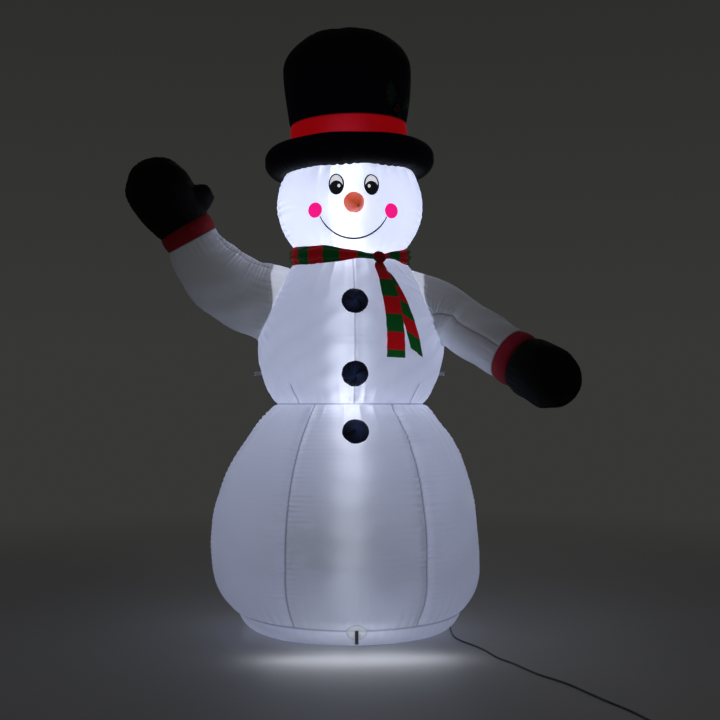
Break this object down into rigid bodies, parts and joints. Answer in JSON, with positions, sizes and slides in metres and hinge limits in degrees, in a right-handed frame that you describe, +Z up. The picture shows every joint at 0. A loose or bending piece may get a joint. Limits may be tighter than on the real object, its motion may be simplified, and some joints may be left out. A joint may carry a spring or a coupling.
{
  "type": "inflatable garden snowman",
  "caption": "Air-filled fabric snowman with top hat, scarf, carrot nose and one raised arm, held up by a fan in the back of its base and lit by a lamp string inside.",
  "frame": {"origin": "middle of the flat part of the base, on the ground", "axes": "+Z up through the hat, -Y the way the face looks, +X towards the lowered arm"},
  "size_m": [1.8022, 2.287, 2.3997],
  "materials": {
    "snow_fabric": "coated taffeta, lit from inside",
    "black_fabric": "coated taffeta",
    "red_fabric": "coated taffeta",
    "scarf_fabric": "brushed stripes",
    "leaf_felt": "coated taffeta",
    "berry_fabric": "coated taffeta",
    "orange_fabric": "coated taffeta",
    "white_print": "printed",
    "dark_print": "printed",
    "pink_print": "printed",
    "light_webbing": "woven",
    "dark_webbing": "woven",
    "patch_fabric": "coated taffeta",
    "black_plastic": "moulded",
    "motor_steel": "plated",
    "white_plastic": "moulded",
    "lamp_lens": "frosted, lit",
    "zinc": "die-cast, plated",
    "lead_jacket": "extruded",
    "tie_webbing": "hook and loop",
    "pin_plate": "nickel-plated brass"
  },
  "bodies": {
    "snowman": {"gore_front": "snow_fabric", "gore_front_right": "snow_fabric", "gore_back_right": "snow_fabric", "gore_back": "snow_fabric", "gore_back_left": "snow_fabric", "gore_front_left": "snow_fabric", "base_panel": "snow_fabric", "torso_front_left": "snow_fabric", "torso_front_right": "snow_fabric", "torso_back": "snow_fabric", "head_front": "snow_fabric", "head_back": "snow_fabric", "brim_lower": "black_fabric", "brim_upper": "black_fabric", "hat_band": "red_fabric", "hat_crown": "black_fabric", "holly_leaves": "leaf_felt", "holly_berries": "berry_fabric", "nose": "orange_fabric", "eye_whites": "white_print", "pupils": "dark_print", "cheeks": "pink_print", "mouth": "dark_print", "buttons": "black_fabric", "scarf_wrap": "scarf_fabric", "scarf_knot": "scarf_fabric", "side_tethers": "light_webbing", "base_tethers": "dark_webbing", "base_patches": "patch_fabric", "blower_housing": "black_plastic", "clamp_ring": "black_plastic", "intake_grille": "black_plastic", "outlet_guard": "black_plastic", "motor": "motor_steel", "motor_bracket": "black_plastic", "housing_screws": "motor_steel", "cable_gland": "black_plastic", "led_lead": "white_plastic", "led_sockets": "white_plastic", "led_bulbs": "lamp_lens", "led_hanger": "light_webbing", "zip_tape": "dark_webbing", "zip_teeth": "black_plastic", "power_lead": "lead_jacket", "power_coil": "lead_jacket", "coil_tie": "tie_webbing", "plug_body": "lead_jacket", "plug_pins": "pin_plate"},
    "fan": {"impeller": "black_plastic", "motor_shaft": "motor_steel"},
    "zip_slider": {"zip_slider": "zinc"},
    "zip_pull": {"zip_pull": "zinc"},
    "rear_tail": {"scarf_rear_tail": "scarf_fabric"},
    "front_tail": {"scarf_front_tail": "scarf_fabric"},
    "waving_arm": {"waving_sleeve": "snow_fabric", "waving_cuff": "red_fabric", "waving_mitten": "black_fabric"},
    "lowered_arm": {"lowered_sleeve": "snow_fabric", "lowered_cuff": "red_fabric", "lowered_mitten": "black_fabric"}
  },
  "joints": [
    {"name": "fan_spin", "type": "hinge", "parent": "snowman", "child": "fan", "pos_m": [0, 0.507, 0.29], "axis": [0, 1, 0], "continuous": true},
    {"name": "zip_slide", "type": "slide", "parent": "snowman", "child": "zip_slider", "axis": [0, 0, -1], "range_m": [0, 0.16]},
    {"name": "zip_pull_hinge", "type": "hinge", "parent": "zip_slider", "child": "zip_pull", "pos_m": [-0.26925, 0.46635, 0.391], "axis": [0.866, 0.5, 0], "range_deg": [0, 170]},
    {"name": "rear_tail_lift", "type": "hinge", "parent": "snowman", "child": "rear_tail", "pos_m": [0.10067, -0.2261, 1.438], "axis": [-0.9135, -0.4067, 0], "range_deg": [0, 40]},
    {"name": "front_tail_lift", "type": "hinge", "parent": "rear_tail", "child": "front_tail", "pos_m": [0.10067, -0.2261, 1.438], "axis": [-0.9135, -0.4067, 0], "range_deg": [0, 30]},
    {"name": "waving_arm_sway", "type": "hinge", "parent": "snowman", "child": "waving_arm", "pos_m": [-0.308, -0.004, 1.299], "axis": [0, 1, 0], "range_deg": [-6, 8], "stiffness_Nm_per_rad": 40},
    {"name": "lowered_arm_sway", "type": "hinge", "parent": "snowman", "child": "lowered_arm", "pos_m": [0.306, -0.03, 1.29], "axis": [0, -1, 0], "range_deg": [-2, 10], "stiffness_Nm_per_rad": 40}
  ]
}
